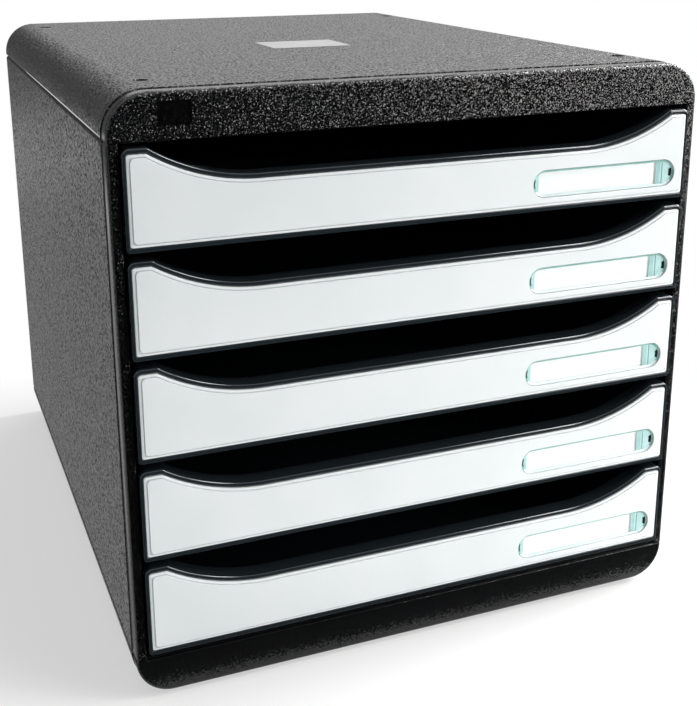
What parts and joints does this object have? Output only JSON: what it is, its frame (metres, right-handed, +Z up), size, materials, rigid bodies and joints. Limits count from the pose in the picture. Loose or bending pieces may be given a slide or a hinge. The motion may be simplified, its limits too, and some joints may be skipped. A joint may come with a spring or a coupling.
{
  "type": "desktop file drawer",
  "caption": "Free-standing desktop casing with sliding closed drawers for flat papers; each drawer has a smile-shaped finger cut-out, a white front and a label window.",
  "frame": {"origin": "on the desk, under the middle of the object's bounding box", "axes": "+X to the right seen from the front, +Y from the front to the back, +Z up"},
  "size_m": [0.278, 0.35, 0.271],
  "materials": {
    "casing_plastic": "fine grained dark grey moulding",
    "base_plastic": "smoother dark grey moulding",
    "tray_plastic": "glossy smoke grey moulding",
    "insert_plastic": "glossy cool white moulding",
    "window_plastic": "clear, faintly teal",
    "label_paper": "plain white card",
    "foot_rubber": "matt"
  },
  "bodies": {
    "casing": {"top_cover": "casing_plastic", "base_shell": "base_plastic", "left_side_panel": "casing_plastic", "right_side_panel": "casing_plastic", "back_panel": "casing_plastic", "rubber_feet": "foot_rubber"},
    "drawer_1": {"drawer_1_tray": "tray_plastic", "drawer_1_insert": "insert_plastic", "drawer_1_label_window": "window_plastic", "drawer_1_label": "label_paper"},
    "drawer_2": {"drawer_2_tray": "tray_plastic", "drawer_2_insert": "insert_plastic", "drawer_2_label_window": "window_plastic", "drawer_2_label": "label_paper"},
    "drawer_3": {"drawer_3_tray": "tray_plastic", "drawer_3_insert": "insert_plastic", "drawer_3_label_window": "window_plastic", "drawer_3_label": "label_paper"},
    "drawer_4": {"drawer_4_tray": "tray_plastic", "drawer_4_insert": "insert_plastic", "drawer_4_label_window": "window_plastic", "drawer_4_label": "label_paper"},
    "drawer_5": {"drawer_5_tray": "tray_plastic", "drawer_5_insert": "insert_plastic", "drawer_5_label_window": "window_plastic", "drawer_5_label": "label_paper"}
  },
  "joints": [
    {"name": "drawer_1_slide", "type": "slide", "parent": "casing", "child": "drawer_1", "axis": [0, -1, 0], "range_m": [0, 0.235]},
    {"name": "drawer_2_slide", "type": "slide", "parent": "casing", "child": "drawer_2", "axis": [0, -1, 0], "range_m": [0, 0.235]},
    {"name": "drawer_3_slide", "type": "slide", "parent": "casing", "child": "drawer_3", "axis": [0, -1, 0], "range_m": [0, 0.235]},
    {"name": "drawer_4_slide", "type": "slide", "parent": "casing", "child": "drawer_4", "axis": [0, -1, 0], "range_m": [0, 0.235]},
    {"name": "drawer_5_slide", "type": "slide", "parent": "casing", "child": "drawer_5", "axis": [0, -1, 0], "range_m": [0, 0.235]}
  ]
}
